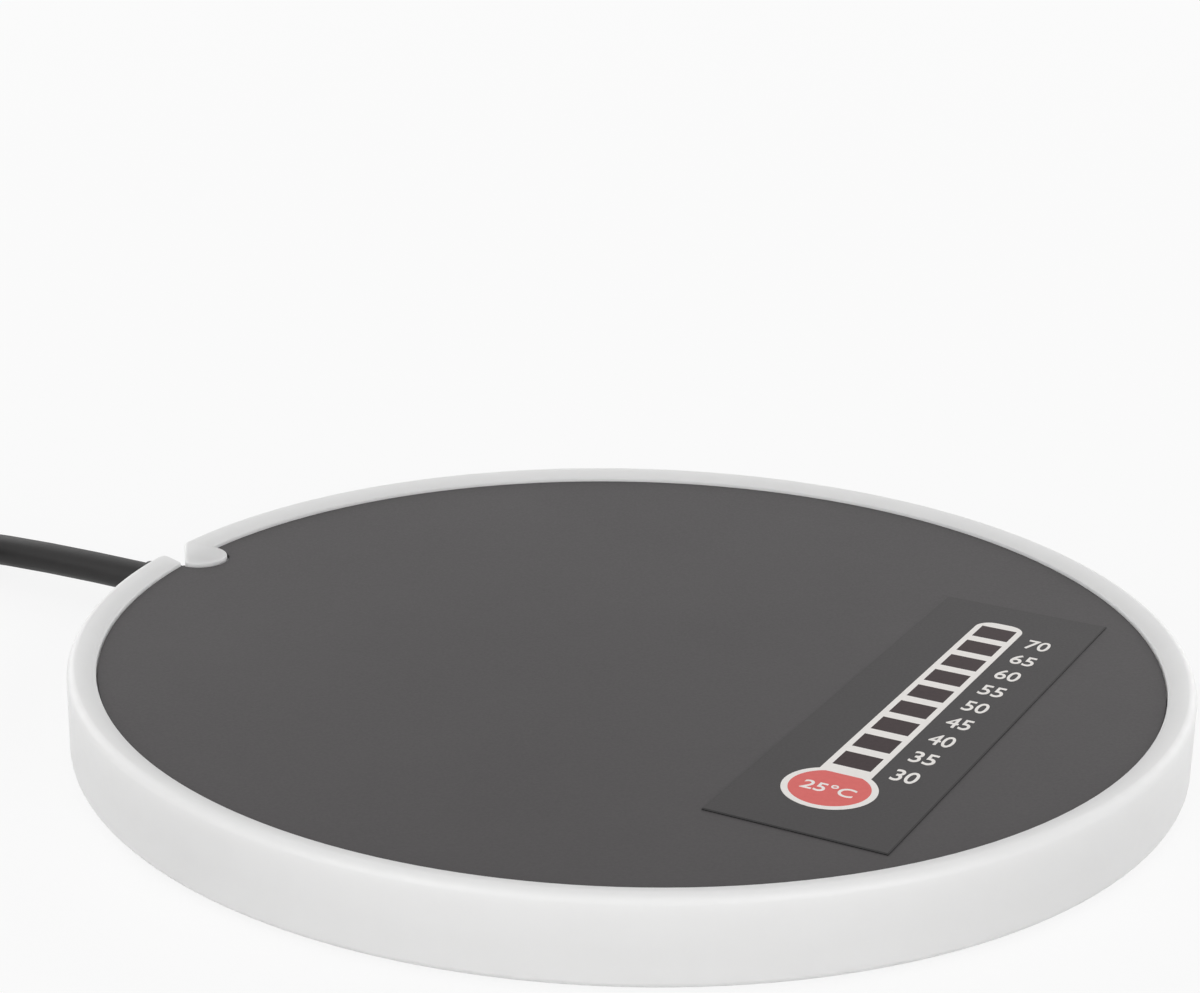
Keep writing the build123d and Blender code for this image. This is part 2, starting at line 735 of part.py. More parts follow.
# A tapered rubber sleeve, grooved outside the band, is pressed into the wall's hole.
relief_groove = relief_outside / (2 * relief_grooves + 1)
with BuildPart() as strain_relief:
    with BuildSketch(cord_plane(relief_start)):
        Circle(relief_radius)
    extrude(amount=band_radius - relief_start)
    with BuildSketch(cord_plane(band_radius)):
        Circle(relief_radius)
    with BuildSketch(cord_plane(relief_tip)):
        Circle(relief_tip_radius)
    loft()
    for groove in range(relief_grooves):
        start = band_radius + relief_groove * (2 * groove + 1)
        with BuildSketch(cord_plane(start)):
            Circle(relief_radius)
            Circle(relief_tip_radius, mode=Mode.SUBTRACT)
        extrude(amount=relief_groove, mode=Mode.SUBTRACT)
    with BuildSketch(cord_plane(relief_start)):
        Circle(cord_radius + push_fit)
    extrude(amount=relief_tip - relief_start, mode=Mode.SUBTRACT)
keep(strain_relief.part, "strain_relief")


# ---- Cord, coil and plug ------------------------------------------------------------------
def route_radii(points):
    """Radius at each corner of a route: 0.45 of its shorter run over the tangent of half its turn."""
    radii = []
    for before, here, after in zip(points, points[1:], points[2:]):
        turn = (here - before).get_angle(after - here)
        run = min((here - before).length, (after - here).length)
        radii.append(0.45 * run / tan(radians(turn / 2)))
    return radii


def route_tube(points, radius, name):
    """Round tube along straight runs joined by tangent arcs."""
    radii = route_radii(points)
    with BuildPart() as tube:
        with BuildLine():
            route = FilletPolyline(*points, radius=radii)
        with BuildSketch(Plane(origin=route @ 0, z_dir=route % 0)):
            Circle(radius)
        sweep()
    print(name, "length", round(route.length, 1), "radii", [round(corner) for corner in radii],
          "volume ratio", round(tube.part.volume / (pi * radius**2 * route.length), 4))
    return tube.part


# From the strain relief down to the table and into the coil's lower layer
cord_route = [
    around(relief_tip, cord_angle, cord_height),
    around(relief_tip + first_run, cord_angle, cord_height),
    Vector(-96.0, 48.6, cord_radius + 0.1),
    Vector(-113.0, 54.4, cord_radius + tie_thickness),
]
keep(route_tube(cord_route, cord_radius, "power_cord"), "power_cord")

# The coil: turns side by side in layers, as one closed ring with the shape of its outside.
cord_diameter = 2 * cord_radius
coil_inner_radius = coil_outer_radius - coil_turns_wide * cord_diameter
coil_height = coil_layers * cord_diameter
joining_way = (cord_route[-1] - cord_route[-2]).normalized()
across = Vector(-joining_way.Y, joining_way.X, 0).normalized()
coil_middle = cord_route[-1] + across * (coil_outer_radius - cord_radius)
coil_plane = Plane(origin=(coil_middle.X, coil_middle.Y, tie_thickness))
with BuildPart() as cord_coil:
    with BuildSketch(coil_plane):
        Circle(coil_outer_radius)
        Circle(coil_inner_radius, mode=Mode.SUBTRACT)
    extrude(amount=coil_height)
    fillet(cord_coil.edges().filter_by(GeomType.CIRCLE), cord_radius - push_fit)
keep(cord_coil.part, "cord_coil")

# The tie: a strap round the turns.
coil_width = coil_outer_radius - coil_inner_radius
tie_middle = around(coil_outer_radius - coil_width / 2, tie_angle, coil_height / 2)
tie_plane = Plane(origin=coil_plane.from_local_coords(tie_middle),
                  x_dir=around(1, tie_angle), z_dir=around(1, tie_angle + 90))
tie_reach = tie_width**2 / (8 * coil_inner_radius) + soft_gap
with BuildPart() as cord_tie:
    with BuildSketch(tie_plane):
        RectangleRounded(coil_width + 2 * (tie_reach + tie_thickness),
                         coil_height + 2 * tie_thickness, cord_radius)
        RectangleRounded(coil_width + 2 * tie_reach, coil_height, cord_radius - tie_thickness,
                         mode=Mode.SUBTRACT)
    extrude(amount=tie_width / 2, both=True)
keep(cord_tie.part, "cord_tie")

# The tail from the coil's upper layer down to the plug
plug_axis = plug_thickness / 2 - tie_thickness
tail_route = [
    coil_plane.from_local_coords((cord_radius - coil_outer_radius, 4, coil_height - cord_radius)),
    coil_plane.from_local_coords((-30.4, -12, 5.4)),
    coil_plane.from_local_coords((-33.5, -27, plug_axis)),
    coil_plane.from_local_coords((-39, -40.5, plug_axis)),
]
keep(route_tube(tail_route, cord_radius, "cord_tail"), "cord_tail")

# The plug lies flat beside the coil, in line with the tail's end.
plug_way = (tail_route[-1] - tail_route[-2]).normalized()
plug_start = Plane(origin=tail_route[-1], x_dir=(-plug_way.Y, plug_way.X, 0), z_dir=plug_way)
shell_start = plug_start.offset(plug_length)
with BuildPart() as plug_body:
    with BuildSketch(plug_start):
        RectangleRounded(plug_width, plug_thickness, plug_corner)
    extrude(amount=plug_length)
    ends = plug_body.faces().sort_by(Axis(plug_start.origin, plug_way))
    fillet(ends[0].edges(), plug_back_fillet)
    chamfer(ends[-1].edges(), plug_front_chamfer)
keep(plug_body.part, "plug_body")

with BuildPart() as plug_shell:
    with BuildSketch(shell_start):
        RectangleRounded(shell_width, shell_thickness, shell_wall)
        Rectangle(shell_width - 2 * shell_wall, shell_thickness - 2 * shell_wall, mode=Mode.SUBTRACT)
    extrude(amount=shell_length)
    # Two square windows in each broad side, as the socket's springs need
    with BuildSketch(Plane(origin=shell_start.offset(shell_length / 2).origin, x_dir=plug_way)):
        with GridLocations(0, shell_width / 2, 1, 2):
            Rectangle(window_size, window_size)
    extrude(amount=shell_thickness, both=True, mode=Mode.SUBTRACT)
keep(plug_shell.part, "plug_shell")

tongue_drop = (shell_thickness / 2 - shell_wall) - tongue_plate / 2
with BuildPart() as plug_tongue:
    with BuildSketch(shell_start):
        with Locations((0, -tongue_drop)):
            Rectangle(shell_width - 2 * shell_wall, tongue_plate)
    extrude(amount=shell_length - shell_wall)
keep(plug_tongue.part, "plug_tongue")

with BuildPart() as plug_contacts:
    with BuildSketch(shell_start):
        with Locations((0, tongue_plate - tongue_drop - tongue_plate / 2 + contact_thickness / 2)):
            with GridLocations(contact_pitch, 0, 4, 1):
                Rectangle(contact_width, contact_thickness)
    extrude(amount=contact_length)
keep(plug_contacts.part, "plug_contacts")

# ---- Thermometer label --------------------------------------------------------------------
# The label's plane: x runs across the scale, y along it, from the first cell's centre.
label_plane = Plane(origin=around(rim_radius - first_cell_inset, first_cell_angle, panel_top_z),
                    x_dir=around(1, label_turn - 90), z_dir=(0, 0, 1))
ink_plane = label_plane.offset(label_thickness)
scale_length = (cell_count - 1) * cell_pitch
cell_gap = cell_pitch - cell_length

with BuildPart() as thermometer_label:
    with BuildSketch(label_plane):
        with Locations((label_right - label_width / 2, label_length / 2 - label_front)):
            Rectangle(label_width, label_length)
    extrude(amount=label_thickness)
keep(thermometer_label.part, "thermometer_label")

with BuildPart() as scale_outline:
    with BuildSketch(ink_plane):
        with Locations((0, -bulb_drop)):
            Circle(bulb_radius)
        with Locations((0, (scale_length - bulb_drop + cell_length / 2 + cell_gap) / 2)):
            RectangleRounded(cell_width + 2 * line_width,
                             scale_length + bulb_drop + cell_length / 2 + cell_gap, tube_end_radius)
        with Locations((0, scale_length / 2)):
            with GridLocations(0, cell_pitch, 1, cell_count):
                Rectangle(cell_width, cell_length, mode=Mode.SUBTRACT)
        with BuildSketch(mode=Mode.PRIVATE) as fill:
            with Locations((0, -bulb_drop)):
                Circle(bulb_radius - line_width)
            with Locations((0, -bulb_drop + bulb_chord + bulb_radius / 2)):
                Rectangle(2 * bulb_radius, bulb_radius, mode=Mode.SUBTRACT)
        add(fill.sketch, mode=Mode.SUBTRACT)
    extrude(amount=ink_thickness)
keep(scale_outline.part, "scale_outline")

with BuildPart() as scale_cells:
    with BuildSketch(ink_plane):
        with Locations((0, scale_length / 2)):
            with GridLocations(0, cell_pitch, 1, cell_count):
                Rectangle(cell_width, cell_length)
    extrude(amount=ink_thickness)
keep(scale_cells.part, "scale_cells")

with BuildPart() as scale_bulb:
    with BuildSketch(ink_plane):
        add(fill.sketch)
    extrude(amount=ink_thickness)
keep(scale_bulb.part, "scale_bulb")

# Numerals are drawn with strokes between six corners of a box: a and b at the top,
# c and d half way down, e and f at the bottom.
strokes = {
    "0": ["abfea"], "1": ["bf"], "2": ["abdcef"], "3": ["abfe", "cd"], "4": ["acd", "bf"], "5": ["bacdfe"],
    "6": ["baefdc"], "7": ["abf"], "8": ["abfea", "cd"], "9": ["efbacd"], "C": ["baef"],
}


def draw_sign(sign, x, y, height):
    """Draws one sign with its middle at x, y in the sketch in hand."""
    corners = {}
    for place, letter in enumerate("abcdef"):
        corners[letter] = (x + numeral_aspect * height * (place % 2 - 0.5),
                           y + height * (0.5 - place // 2 / 2))
    for stroke in strokes[sign]:
        with BuildLine() as line:
            Polyline(*[corners[letter] for letter in stroke])
        trace(line.edges(), stroke_share * height)
        with Locations(*[corners[letter] for letter in stroke]):
            Circle(stroke_share * height / 2)


def draw_number(number, x, y, height):
    """Draws a number of two digits with its middle at x, y."""
    for place, digit in enumerate(f"{number:.0f}"):
        draw_sign(digit, x + numeral_step * height * (place - 0.5), y, height)


with BuildPart() as scale_numerals:
    with BuildSketch(ink_plane):
        for cell in range(cell_count):
            draw_number(first_reading + reading_step * cell, numeral_offset,
                        cell * cell_pitch - numeral_drop, numeral_height)
    extrude(amount=ink_thickness)
    with BuildSketch(ink_plane.offset(ink_thickness)):
        draw_number(first_reading - reading_step, -numeral_step * bulb_numeral_height, -bulb_drop,
                    bulb_numeral_height)
        draw_sign("C", 1.5 * numeral_step * bulb_numeral_height, -bulb_drop, bulb_numeral_height)
    extrude(amount=ink_thickness)
keep(scale_numerals.part, "scale_numerals")
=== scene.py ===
from math import cos, pi, radians, sin, tau

import bmesh
import bpy
import numpy as np
from mathutils import Matrix, Vector


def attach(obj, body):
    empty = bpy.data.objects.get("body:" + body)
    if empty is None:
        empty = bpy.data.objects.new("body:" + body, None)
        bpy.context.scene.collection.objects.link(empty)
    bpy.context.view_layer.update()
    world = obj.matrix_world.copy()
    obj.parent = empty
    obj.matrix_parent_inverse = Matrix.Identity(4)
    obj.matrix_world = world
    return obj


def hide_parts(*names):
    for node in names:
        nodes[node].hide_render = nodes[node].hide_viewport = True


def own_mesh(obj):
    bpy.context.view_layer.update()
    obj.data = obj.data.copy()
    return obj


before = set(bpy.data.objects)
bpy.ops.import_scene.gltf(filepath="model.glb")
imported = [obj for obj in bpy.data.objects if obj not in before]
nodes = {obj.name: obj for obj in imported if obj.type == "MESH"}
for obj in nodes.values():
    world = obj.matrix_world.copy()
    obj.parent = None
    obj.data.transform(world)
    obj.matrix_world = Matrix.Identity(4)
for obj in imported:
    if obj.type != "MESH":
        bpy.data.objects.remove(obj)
scene = bpy.context.scene
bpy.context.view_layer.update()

# ---- Camera -----------------------------------------------------------------------------
# A 75 mm lens 12 cm above the table and 26 cm in front of the warmer's middle, on the side
# where its user sits. It looks down by 18.6 degrees, and turns and leans left by about one.
camera = bpy.data.objects.new("camera", bpy.data.cameras.new("camera"))
camera.data.sensor_width = 36
camera.data.lens = 75
camera.data.clip_start = 0.01
look_left, look_down, lean_left = 0.01475, 0.32388, 0.01998
camera.matrix_world = (Matrix.Translation((0, -0.2647, 0.11557))
                       @ Matrix.Rotation(look_left, 4, "Z")
                       @ Matrix.Rotation(pi / 2 - look_down, 4, "X")
                       @ Matrix.Rotation(lean_left, 4, "Z"))
scene.collection.objects.link(camera)
scene.camera = camera


# ---- Cord -------------------------------------------------------------------------------
# A round lead in a black rubber jacket, 4 mm thick and about 1.2 m long. It comes straight
# out of its strain relief at the back left, goes down to the table, lies there as a coil of
# two layers held by a tie, and ends in its plug.
class Socket:
    """A value in a material's nodes. Python's operators on it add the Math nodes they name."""

    def __init__(self, tree, output=None):
        self.tree = tree
        self.output = output

    def node(self, kind, inputs=(), out=0, **settings):
        """Adds any node: its settings first, then its sockets by name or number."""
        made = self.tree.nodes.new("ShaderNode" + kind)
        for name, setting in settings.items():
            setattr(made, name, setting)
        for name, value in dict(inputs).items():
            if isinstance(value, Socket):
                self.tree.links.new(value.output, made.inputs[name])
            else:
                made.inputs[name].default_value = value
        return Socket(self.tree, made.outputs[out])

    def math(self, operation, *values):
        return self.node("Math", enumerate(values), operation=operation)

    def __add__(self, other):
        return self.math("ADD", self, other)

    def __radd__(self, other):
        return self.math("ADD", other, self)

    def __mul__(self, other):
        return self.math("MULTIPLY", self, other)

    def __rmul__(self, other):
        return self.math("MULTIPLY", other, self)

    def __lt__(self, other):
        return self.math("LESS_THAN", self, other)

    def __gt__(self, other):
        return self.math("GREATER_THAN", self, other)


def new_finish(name):
    """An empty material, a Socket to add its nodes from, and its Object coordinates in metres."""
    material = bpy.data.materials.new(name)
    material.use_nodes = True
    material.node_tree.nodes.clear()
    start = Socket(material.node_tree)
    return material, start, start.node("TexCoord", out="Object")


def end_shader(start, surface, kind="OutputMaterial"):
    """Leads a shader to the output of its material or world."""
    output = start.tree.nodes.new("ShaderNode" + kind)
    start.tree.links.new(surface.output, output.inputs["Surface"])


def dress(start, **sockets):
    """Ends a material in the Principled shader, with its sockets given by their names."""
    named = {name.replace("_", " "): value for name, value in sockets.items()}
    end_shader(start, start.node("BsdfPrincipled", named))


def speckle(start, place, size, detail=3.0, stretch=(1, 1, 1)):
    """Soft noise between 0 and 1, in spots of about that size in metres, drawn out by stretch."""
    scale = [1 / (size * part) for part in stretch]
    scaled = start.node("Mapping", {"Vector": place, "Scale": scale})
    return start.node("TexNoise", {"Vector": scaled, "Scale": 1.0, "Detail": detail}, out="Fac")


def relief(start, height, depth):
    """Normal of a surface whose height, from 0 to 1, stands that deep in metres."""
    return start.node("Bump", {"Height": height, "Strength": 1.0, "Distance": depth}, out="Normal")


def tint(start, factor, one, other):
    """A colour between two others, each of them three numbers or a Socket."""
    one, other = (color if isinstance(color, Socket) else (*color, 1) for color in (one, other))
    return start.node("Mix", {0: factor, 6: one, 7: other}, out=2, data_type="RGBA")


def spread(start, noise, low, high):
    """Soft noise from 0.3 to 0.7 carried over to low and high, and kept between them."""
    return start.node("MapRange", {"Value": noise, "From Min": 0.3, "From Max": 0.7,
                                   "To Min": low, "To Max": high})


cord_rubber, start, place = new_finish("cord_rubber")
mottle = speckle(start, place, 0.004)
grain = speckle(start, place, 0.00025, detail=2.0)
dress(start, Base_Color=tint(start, mottle, (0.017, 0.016, 0.016), (0.028, 0.027, 0.027)),
      Roughness=spread(start, mottle, 0.42, 0.52), Specular_IOR_Level=0.25,
      Normal=relief(start, grain, 0.00002))


def round_z(radius, angle, z):
    """Point at a radius and an angle in degrees round the warmer's axis."""
    return radius * cos(radians(angle)), radius * sin(radians(angle)), z


# The coil winds in for four turns, climbs to its second layer, and winds out for four more.
# Its curve runs a little inside its points, which stand further out by curve_share.
coil_middle = np.array((-0.122687, 0.026007, 0))
coil_radius = 0.030
turn_step = 0.004
first_layer = 0.0025
layer_height = 0.004
turn_points = 24
curve_share = 0.9914
layer_angle = 4 * tau
first_angle = radians(71.16)
climb = radians(101.24)
last_angle = first_angle + 2 * layer_angle + climb
coil_points = []
for angle in np.arange(first_angle + tau / turn_points, last_angle - pi / turn_points,
                       tau / turn_points):
    inward = min(angle - first_angle, layer_angle)
    outward = max(angle - first_angle - layer_angle - climb, 0)
    radius = (coil_radius - turn_step * (inward - outward) / tau) / curve_share
    climbed = np.clip((angle - first_angle - layer_angle) / climb, 0, 1)
    coil_points.append((coil_middle[0] + radius * cos(angle), coil_middle[1] + radius * sin(angle),
                        first_layer + layer_height * climbed))
tail = [(-0.030, 0.004, 0.0065), (-0.0304, -0.012, 0.0059), (-0.0335, -0.027, 0.0039),
        (-0.039, -0.0405, 0.0039)]
exit_angle = 153
exit_height = 0.0037
route = [round_z(0.069, exit_angle, exit_height), round_z(0.087, exit_angle, exit_height),
         (-0.096, 0.0486, 0.0021), (-0.113, 0.0544, 0.0025)]
route += coil_points
route += [tuple(coil_middle + point) for point in tail]

cord_line = bpy.data.curves.new("cord", "CURVE")
cord_line.dimensions = "3D"
cord_line.bevel_depth = 0.002
cord_line.bevel_resolution = 5
cord_line.resolution_u = 4
spline = cord_line.splines.new("NURBS")
spline.points.add(len(route) - 1)
spline.points.foreach_set("co", np.hstack([route, np.ones((len(route), 1))]).ravel())
spline.order_u = 3
spline.use_endpoint_u = True
cord = bpy.data.objects.new("cord", cord_line)
scene.collection.objects.link(cord)
cord_line.materials.append(cord_rubber)
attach(cord, "base")
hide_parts("power_cord", "cord_coil", "cord_tail")


# ---- Cord tie ---------------------------------------------------------------------------
# A soft black strap, 6 mm wide and half a millimetre thick, closed once round the coil's
# section. It has a fine rough grain and rounded edges.
def add_piece(name, points, faces, material, sharp=40):
    """A mesh object at the origin, shaded smooth but for edges sharper than the angle in degrees.
    Points closer together than a micrometre are made one."""
    mesh = bpy.data.meshes.new(name)
    mesh.from_pydata(points, [], faces)
    merged = bmesh.new()
    merged.from_mesh(mesh)
    bmesh.ops.remove_doubles(merged, verts=merged.verts, dist=1e-6)
    bmesh.ops.recalc_face_normals(merged, faces=merged.faces)
    merged.to_mesh(mesh)
    merged.free()
    mesh.shade_smooth()
    mesh.set_sharp_from_angle(angle=radians(sharp))
    mesh.materials.append(material)
    piece = bpy.data.objects.new(name, mesh)
    scene.collection.objects.link(piece)
    return piece


def grid_faces(rows, columns, close_rows=False):
    """Four-sided faces between neighbouring rows of points, each row a closed ring. If asked, the
    last row is joined to the first as well."""
    index = np.arange(rows * columns).reshape(rows, columns)
    if close_rows:
        index = np.vstack([index, index[:1]])
    across = np.roll(index, -1, axis=1)
    return np.stack([index[:-1], across[:-1], across[1:], index[1:]], axis=-1).reshape(-1, 4)


def rounded_box(half_width, half_height, corner, steps=8):
    """Closed ring of a rectangle with round corners: each corner's centre plus its radius times
    (cos a, sin a), a going once round. The sizes may be arrays, which gives one ring each."""
    side = np.arange(4 * steps) // steps
    turn = (side + np.arange(4 * steps) % steps / (steps - 1)) * pi / 2
    half_width, half_height, corner = (np.asarray(size)[..., None]
                                       for size in (half_width, half_height, corner))
    x = (half_width - corner) * np.array((1, -1, -1, 1))[side] + corner * np.cos(turn)
    y = (half_height - corner) * np.array((1, 1, -1, -1))[side] + corner * np.sin(turn)
    return np.stack([x, y], axis=-1)


tie_plastic, start, place = new_finish("tie_plastic")
grain = start.node("TexNoise", {"Vector": place, "Scale": 1500.0, "Detail": 2.0}, out="Fac")
dress(start, Base_Color=tint(start, grain, (0.022, 0.022, 0.023), (0.040, 0.039, 0.040)),
      Roughness=0.6, Normal=relief(start, grain, 0.00006))

tie_angle = radians(305)
tie_out = np.array((cos(tie_angle), sin(tie_angle), 0))
tie_along = np.array((-sin(tie_angle), cos(tie_angle), 0))
# The coil's section under the tie: the middle's distance and height, half sizes and corner
section_distance, section_height = 0.022, 0.0045
section_half_width, section_half_height, section_corner = 0.010, 0.004, 0.002
tie_middle = coil_middle + tie_out * section_distance + np.array((0, 0, section_height))
strap_half_width = 0.003
strap_half_thickness = 0.00025
# The turns curve under the straight strap by half its width squared over twice their radius,
# and a tenth of a millimetre is left for it to lie in
turns_radius = 0.012
strap_room = strap_half_width**2 / (2 * turns_radius) + 0.0001
# The strap's own section is a box with round sides: cosine and sine drawn out by a square root
strap_turn = np.linspace(0, tau, 12, endpoint=False)
strap_across, strap_depth = (
    np.sign(wave) * np.abs(wave) ** 0.5 * half
    for wave, half in ((np.cos(strap_turn), strap_half_width),
                       (np.sin(strap_turn), strap_half_thickness)))
strap_depth = strap_half_thickness + strap_depth
loop = rounded_box(section_half_width + strap_room + strap_depth, section_half_height + strap_depth,
                   section_corner + strap_depth, steps=30)
strap = (tie_middle + loop[..., :1] * tie_out + loop[..., 1:] * np.array((0, 0, 1.0))
         + strap_across[:, None, None] * tie_along)
tie = add_piece("tie", strap.reshape(-1, 3), grid_faces(*strap.shape[:2], close_rows=True),
                tie_plastic)
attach(tie, "base")
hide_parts("cord_tie")

# ---- Plug -------------------------------------------------------------------------------
# A flat grip of moulded black plastic with finger ribs, and a short sleeve round the cord
# that is moulded with it. It holds the metal shell, with a white tongue and four contacts.
plug_start = np.array(route[-1])
plug_way = (plug_start - np.array(route[-2])) * (1, 1, 0)
plug_way /= np.linalg.norm(plug_way)
plug_side = np.array((-plug_way[1], plug_way[0], 0))


def ring_piece(name, rings, material):
    """A tube through closed rings of points, its two ends closed with flat caps."""
    rows, columns = rings.shape[:2]
    faces = grid_faces(rows, columns).tolist()
    faces += [list(range(columns))[::-1], list(range((rows - 1) * columns, rows * columns))]
    return add_piece(name, rings.reshape(-1, 3), faces, material)


def grip_rings():
    """Rings of the grip: rounded rectangles along its axis. The half sizes follow a quarter circle
    at the back edge and a short slope at the front, and sink between the finger ribs by a raised
    cosine squared. The sleeve's circles come first, and widen in a line, less a raised cosine."""
    half_width, half_height, corner = 0.00775, 0.0039, 0.002
    back_edge, front_slope, front_end = 0.0013, 0.0206, 0.021
    along = np.concatenate([back_edge * (1 - np.cos(np.linspace(0, pi / 2, 8))),
                            np.linspace(0.0016, 0.0204, 95), [front_slope, 0.0208, front_end]])
    before_edge = np.clip(back_edge - along, 0, None)
    back = back_edge - np.sqrt(np.maximum(back_edge**2 - before_edge**2, 0))
    front = np.clip(along - front_slope, 0, None)
    inset = back + front

    first_rib, last_rib, rib_step, rib_depth = 0.003, 0.0138, 0.0018, 0.00032
    ribbed = (along > first_rib) & (along < last_rib)
    wave = 0.5 - 0.5 * np.cos(tau * (along - first_rib) / rib_step)
    groove = np.where(ribbed, rib_depth * wave**2, 0)

    sleeve_length, sleeve_radius, widening = 0.006, 0.0026, 0.05
    ring_step, ring_depth = 0.0012, 0.000075
    before = np.linspace(-sleeve_length, -0.00001, 41)
    sleeve = (sleeve_radius + widening * before
              - ring_depth * (1 - np.cos(tau * before / ring_step)))
    ring = rounded_box(np.append(sleeve, half_width - inset - groove * 0.4),
                       np.append(sleeve, half_height - inset - groove),
                       np.append(sleeve, corner - inset * 0.5))
    along = np.append(before, along)
    return (plug_start + along[:, None, None] * plug_way + ring[..., :1] * plug_side
            + ring[..., 1:] * np.array((0, 0, 1.0)))


plug_plastic, start, place = new_finish("plug_plastic")
grain = speckle(start, place, 0.0002, detail=2.0)
shine = speckle(start, place, 0.003)
dress(start, Base_Color=tint(start, shine, (0.018, 0.018, 0.018), (0.028, 0.027, 0.028)),
      Roughness=spread(start, shine, 0.34, 0.46), Normal=relief(start, grain, 0.000025))
plug_grip = ring_piece("plug_grip", grip_rings(), plug_plastic)

plug_steel, start, place = new_finish("plug_steel")
brushed = speckle(start, place, 0.0006, stretch=(0.3, 0.3, 6))
smears = speckle(start, place, 0.004)
dress(start, Base_Color=tint(start, smears, (0.58, 0.58, 0.59), (0.68, 0.68, 0.68)), Metallic=1.0,
      Roughness=spread(start, brushed, 0.2, 0.34), Normal=relief(start, brushed, 0.000004))


def dress_nodes(material, *names):
    """Gives the named CAD nodes their finish."""
    for name in names:
        nodes[name].material_slots[0].material = material


dress_nodes(plug_steel, "plug_shell")

tongue_plastic, start, place = new_finish("tongue_plastic")
cloud = speckle(start, place, 0.001)
dress(start, Base_Color=tint(start, cloud, (0.72, 0.72, 0.70), (0.78, 0.78, 0.76)), Roughness=0.38,
      Normal=relief(start, cloud, 0.00001))
dress_nodes(tongue_plastic, "plug_tongue")

contact_gold, start, place = new_finish("contact_gold")
worn = speckle(start, place, 0.0008)
dress(start, Base_Color=tint(start, worn, (0.78, 0.54, 0.20), (0.88, 0.66, 0.30)), Metallic=1.0,
      Roughness=spread(start, worn, 0.16, 0.3))
dress_nodes(contact_gold, "plug_contacts")

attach(plug_grip, "base")
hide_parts("plug_body")

# ---- Base tray and cord clamp -----------------------------------------------------------
# A shallow tray of pale moulded plastic with stiffening ribs, sleeves for the plate's guide
# pins and posts for the board. A clamp holds the cord. Its skin has the mould's fine grain.
tray_plastic, start, place = new_finish("tray_plastic")
grain = speckle(start, place, 0.0003, detail=2.0)
cloud = speckle(start, place, 0.012)
dress(start, Base_Color=tint(start, cloud, (0.71, 0.71, 0.70), (0.77, 0.77, 0.76)),
      Roughness=spread(start, grain, 0.42, 0.56), Normal=relief(start, grain, 0.00003))
dress_nodes(tray_plastic, "base_tray", "cord_clamp")

# ---- Feet -------------------------------------------------------------------------------
# Four thin discs of grey rubber, pressed into pockets under the tray. Dust and the table
# have left them a little paler in spots.
foot_rubber, start, place = new_finish("foot_rubber")
dust = speckle(start, place, 0.0016, detail=5.0)
grain = speckle(start, place, 0.00035, detail=2.0)
dress(start, Base_Color=tint(start, dust, (0.46, 0.46, 0.455), (0.56, 0.555, 0.55)),
      Roughness=spread(start, dust, 0.6, 0.78), Normal=relief(start, grain, 0.00004))
dress_nodes(foot_rubber, "rubber_feet")

# ---- Screws and springs -----------------------------------------------------------------
# Small plated steel screws hold the board and the clamp, four flanged ones hold the plate
# down on its springs of coiled wire. The plating is slightly uneven.
steel, start, place = new_finish("steel")
turned = speckle(start, place, 0.0005, stretch=(1, 1, 0.2))
smears = speckle(start, place, 0.002)
dress(start, Base_Color=tint(start, smears, (0.53, 0.53, 0.53), (0.64, 0.63, 0.62)), Metallic=1.0,
      Roughness=spread(start, turned, 0.24, 0.4), Normal=relief(start, turned, 0.000005))
dress_nodes(steel, "plate_screws", "board_screws", "clamp_screws")


def read_mesh(mesh):
    """A mesh's points, one row each, and the point numbers of each face."""
    points = np.empty(len(mesh.vertices) * 3)
    mesh.vertices.foreach_get("co", points)
    return points.reshape(-1, 3), [list(face.vertices) for face in mesh.polygons]


def yielding_piece(name, node, material):
    """A copy of a node, its points merged and its mesh its own, carried by the base in the node's
    place."""
    piece = add_piece(name, *read_mesh(nodes[node].data), material)
    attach(piece, "base")
    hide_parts(node)
    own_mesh(piece)


yielding_piece("springs", "return_springs", steel)

# ---- Circuit board ----------------------------------------------------------------------
# A small board of green laminate, screwed down on the tray's posts. Copper tracks show as
# paler bands under its lacquer.
board_laminate, start, place = new_finish("board_laminate")
tracks = start.node("TexBrick", {"Vector": place, "Scale": 1.0,
                                 "Mortar Size": 0.00025, "Mortar Smooth": 0.1,
                                 "Brick Width": 0.006, "Row Height": 0.0016,
                                 "Color1": (0.010, 0.115, 0.040, 1),
                                 "Color2": (0.012, 0.135, 0.047, 1),
                                 "Mortar": (0.045, 0.235, 0.090, 1)}, offset=0.37)
weave = speckle(start, place, 0.0004)
dress(start, Base_Color=tracks, Roughness=spread(start, weave, 0.26, 0.4),
      Normal=relief(start, weave, 0.00001))
dress_nodes(board_laminate, "circuit_board")

# ---- Chips, resistors and switch housing ------------------------------------------------
# Parts cast in black epoxy, with a matt grain and a faint grey bloom. They are soldered on
# the board.
moulded_black, start, place = new_finish("moulded_black")
bloom = speckle(start, place, 0.0012)
dress(start, Base_Color=tint(start, bloom, (0.016, 0.016, 0.017), (0.034, 0.033, 0.034)),
      Roughness=spread(start, bloom, 0.5, 0.7),
      Normal=relief(start, speckle(start, place, 0.0001, detail=2.0), 0.00001))
dress_nodes(moulded_black, "switch_body", "power_transistor", "control_chip", "board_resistors")

# ---- Switch stem ------------------------------------------------------------------------
# A short pin of natural plastic in the switch's housing. The plate pushes it down when a
# mug stands on it.
stem_plastic, start, place = new_finish("stem_plastic")
cloud = speckle(start, place, 0.0008)
dress(start, Base_Color=tint(start, cloud, (0.66, 0.66, 0.63), (0.74, 0.74, 0.72)), Roughness=0.4,
      Normal=relief(start, cloud, 0.000008))
dress_nodes(stem_plastic, "switch_stem")

